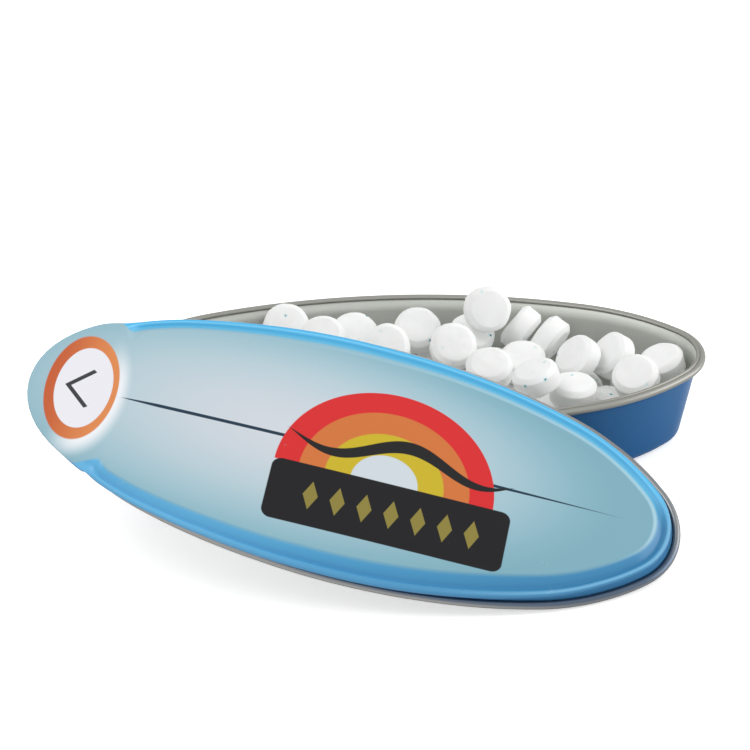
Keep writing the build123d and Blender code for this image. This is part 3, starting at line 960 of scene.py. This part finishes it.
def mint_places(node):
    """Middle and axis of every mint in a CAD node."""
    bm = bmesh.new()
    bm.from_mesh(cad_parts[node].data)
    bmesh.ops.remove_doubles(bm, verts=bm.verts, dist=1e-6)
    seen, places = set(), []
    for vert in bm.verts:
        if vert.index in seen:
            continue
        seen.add(vert.index)
        group, todo = [], [vert]
        while todo:
            v = todo.pop()
            group.append(v.co)
            for edge in v.link_edges:
                other = edge.other_vert(v)
                if other.index not in seen:
                    seen.add(other.index)
                    todo.append(other)
        points = np.array(group)
        roughly = (points.max(axis=0) + points.min(axis=0)) / 2
        axis = np.linalg.eigh(np.cov((points - roughly).T))[1][:, 0]
        places.append((points.mean(axis=0), axis if axis[2] > 0 else -axis))
    bm.free()
    return places


places = {node: mint_places(node) for node in sorted(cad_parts) if node.startswith("mint")}
print({node: len(p) for node, p in places.items()})

# %% [markdown]
# Pressed mints have a slightly domed face, a bevel and a short straight side. The profile goes
# from the middle of the top face to the side, and its mirror makes the lower half.

# %% One mint
BEVEL, DOME = 0.95, 0.12


def lathe_mint(sides=28):
    """The profile turned round Z: an object that only serves as a form for the pile tree."""
    profile = rounded([(0, MINT_HALF), (MINT_R - BEVEL, MINT_HALF - DOME),
                       (MINT_R, MINT_HALF - BEVEL), (MINT_R, 0)], [0.5, 0.35], steps=3)
    profile = divided(profile, 1.6)
    profile = profile + [Vector((p.x, -p.y)) for p in reversed(profile[:-1])]
    turns = [2 * math.pi * k / sides for k in range(sides)]
    mesh = skin("mint", [[(p.x * math.cos(turn), p.x * math.sin(turn), p.y) for p in profile]
                         for turn in turns])
    tidy(mesh)
    return new_object("mint form", mesh)


mint_form = lathe_mint()
print("one mint:", len(mint_form.data.polygons), "faces")

# %% [markdown]
# The mints are chalky white with a few teal and navy flecks. The flecks come from Voronoi cells:
# only the cells whose random value is high get a dot, round the cell's own point. A little
# subsurface scattering keeps the shadows between the mints light, as in real pressed sugar.

# %% Mint material
FLECK_SCALE, FLECK_LIMIT = 520.0, 0.85

mint_white, tree, shader = new_material("chalky mint", {
    "Roughness": 0.7, "Subsurface Weight": 0.6, "Subsurface Radius": (0.0026, 0.0025, 0.0024)})
place = add(tree, "ShaderNodeTexCoord").outputs["Object"]
cells = add(tree, "ShaderNodeTexVoronoi", {"Vector": place, "Scale": FLECK_SCALE})
off_point = Field(cells.outputs["Distance"])
apart = add(tree, "ShaderNodeSeparateColor", {0: cells.outputs["Color"]})
luck, tint = Field(apart.outputs[0]), Field(apart.outputs[1])
chosen = maths("GREATER_THAN", luck, FLECK_LIMIT)
chalk = ramp(noise(place, 260.0, 4.0), (0.3, (246, 248, 246)), (0.6, (253, 254, 253)))
colour = lay(chosen * soft_fall(off_point, 0.10, 0.36) * 0.35, chalk, 150, 215, 215)
fleck = lay(tint, linear(20, 60, 110), 40, 140, 150)
colour = mix_colours(chosen * soft_fall(off_point, 0.07, 0.16), colour, fleck)
feed(colour, shader.inputs["Base Color"])
bump = add(tree, "ShaderNodeBump", {"Strength": 0.25, "Distance": 0.12 * MM,
                                    "Height": noise(place, 1600.0, 5.0, 0.65)})
feed(bump.outputs["Normal"], shader.inputs["Normal"])
print("mint material:", len(tree.nodes), "nodes")

# %% [markdown]
# In a real pile every mint lies at its own angle and no edge is clean. The tree turns each copy
# to its direction, spins it at random about its own axis, and lets noise push the surface in
# and out. Modelling 81 mints by hand would give the same look for far more work.

# %% Pile tree
FULL_TURN, CRUMB_SCALE, CRUMB_LEVEL = 6.2832, 320.0, 0.62


def pile_tree():
    """Points with a `facing` attribute, one form, its material, and how rough the edges are."""
    tree = new_tree("pile of mints", "GeometryNodeTree",
                    {"Geometry": ["Geometry"], "Object": ["Form"], "Material": ["Material"],
                     "Float": ["Unevenness"], "Int": ["Seed"]}, {"Geometry": ["Geometry"]})
    start = add(tree, "NodeGroupInput")
    form = add(tree, "GeometryNodeObjectInfo", {"Object": start.outputs["Form"]})
    facing = add(tree, "GeometryNodeInputNamedAttribute", {"Name": "facing"},
                 data_type="FLOAT_VECTOR")
    aligned = add(tree, "FunctionNodeAlignRotationToVector",
                  {"Vector": facing}, axis="Z")
    spin = add(tree, "FunctionNodeRandomValue", {"Seed": start.outputs["Seed"]}, data_type="FLOAT")
    spin.inputs[3].default_value = FULL_TURN
    about = add(tree, "FunctionNodeAxisAngleToRotation",
                {"Axis": (0, 0, 1), "Angle": spin.outputs[1]})
    turned = add(tree, "FunctionNodeRotateRotation",
                 {0: aligned, 1: about}, rotation_space="LOCAL")
    copies = add(tree, "GeometryNodeInstanceOnPoints",
                 {"Points": start.outputs["Geometry"], "Instance": form.outputs["Geometry"],
                  "Rotation": turned})
    real = add(tree, "GeometryNodeRealizeInstances", {0: copies})
    place = add(tree, "GeometryNodeInputPosition")
    normal = add(tree, "GeometryNodeInputNormal")
    crumbs = noise(place, CRUMB_SCALE, 2.0)
    amount = (crumbs - CRUMB_LEVEL) * start.outputs["Unevenness"]
    push = add(tree, "ShaderNodeVectorMath", {0: normal, "Scale": amount},
               operation="SCALE")
    moved = add(tree, "GeometryNodeSetPosition",
                {"Geometry": real, "Offset": push})
    painted = add(tree, "GeometryNodeSetMaterial",
                  {"Geometry": moved, "Material": start.outputs["Material"]})
    add(tree, "NodeGroupOutput", {0: painted})
    return tree


PILE = pile_tree()
UNEVENNESS = 0.6 * MM
PIECE_NAMES = {"mints_bottom_layer": "bottom_mints", "mints_middle_layer": "middle_mints",
               "mints_top_layer": "top_mints", "mint_standing": "standing_mint"}
for seed, (node, found) in enumerate(places.items()):
    points = bpy.data.meshes.new(node + " places")
    points.from_pydata([tuple(middle) for middle, axis in found], [], [])
    layer = points.attributes.new("facing", "FLOAT_VECTOR", "POINT")
    layer.data.foreach_set("vector", [c for middle, axis in found for c in axis])
    holder = new_object(node + " places", points)
    mesh = run_tree(holder, PILE, {"Form": mint_form, "Material": mint_white,
                                   "Seed": seed, "Unevenness": UNEVENNESS})
    piece = new_piece(PIECE_NAMES[node], mesh, mint_white)
    bpy.data.objects.remove(holder)
    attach(piece, "loose_mint" if node == "mint_standing" else "body")
    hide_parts(node)
    print(piece.name, len(found), "mints,", len(mesh.polygons), "faces")

# %% [markdown]
# ## Clearing up
# Paths, sections and the lathe form were only moulds, so they are removed.

# %% Remove the moulds
for mould in (path, edge_path, wall_section, roll_section, ridge_section, curl_section, mint_form):
    bpy.data.objects.remove(mould)

# %% [markdown]
# ## Floor, backdrop and light
# The picture is a cut-out on white. A large pale floor whose colour is nearly white keeps a soft
# shadow. It glows a little for the camera alone, through the Light Path node, which keeps it
# white there without lighting the tin from below.

# %% Floor
FLOOR_LIFT = 0.55
floor_white, tree, shader = new_material("pale floor", {
    "Base Color": (0.95, 0.95, 0.95, 1), "Roughness": 0.9, "Specular IOR Level": 0.1,
    "Emission Color": (1, 1, 1, 1)})
camera_ray = Field(add(tree, "ShaderNodeLightPath").outputs["Is Camera Ray"])
feed(camera_ray * FLOOR_LIFT, shader.inputs["Emission Strength"])
mesh = bpy.data.meshes.new("floor")
mesh.from_pydata([(-3, -2, 0), (3, -2, 0), (3, 4, 0), (-3, 4, 0)], [], [(0, 1, 2, 3)])
floor = new_piece("floor", mesh, floor_white)
floor.location.z = -0.00002
print("floor 6 by 6 m")

# %% [markdown]
# The world shows white to the camera and in reflections but lights the object more gently, again
# through the Light Path node. One large soft lamp from above left gives the shapes their form,
# and a low, wide one from the right brightens the ends of the walls.

# %% World and lamps
SHOWN, LIGHTING = 1.0, 0.66
world = bpy.data.worlds.new("white studio")
scene.world = world
world.use_nodes = True
tree = world.node_tree
tree.nodes.clear()
rays = add(tree, "ShaderNodeLightPath")
seen = Field(rays.outputs["Is Camera Ray"])
for kind in ("Is Glossy Ray", "Is Transmission Ray"):
    seen = maths("MAXIMUM", seen, rays.outputs[kind])
strength = seen * (SHOWN - LIGHTING) + LIGHTING
sky = add(tree, "ShaderNodeBackground", {"Color": (1, 1, 1, 1), "Strength": strength})
add(tree, "ShaderNodeOutputWorld", {"Surface": sky})


def soft_lamp(name, place, size, power):
    """A round area lamp that faces the tin."""
    data = bpy.data.lights.new(name, "AREA")
    data.shape = "DISK"
    data.size = size
    data.energy = power
    aim(new_object(name, data), place, (0, 0, 0))


soft_lamp("key", (-0.5, -0.25, 1.1), 0.7, 3.4)
soft_lamp("fill", (1.05, 0.0, 0.45), 1.1, 6.0)
scene.view_settings.view_transform = "Standard"
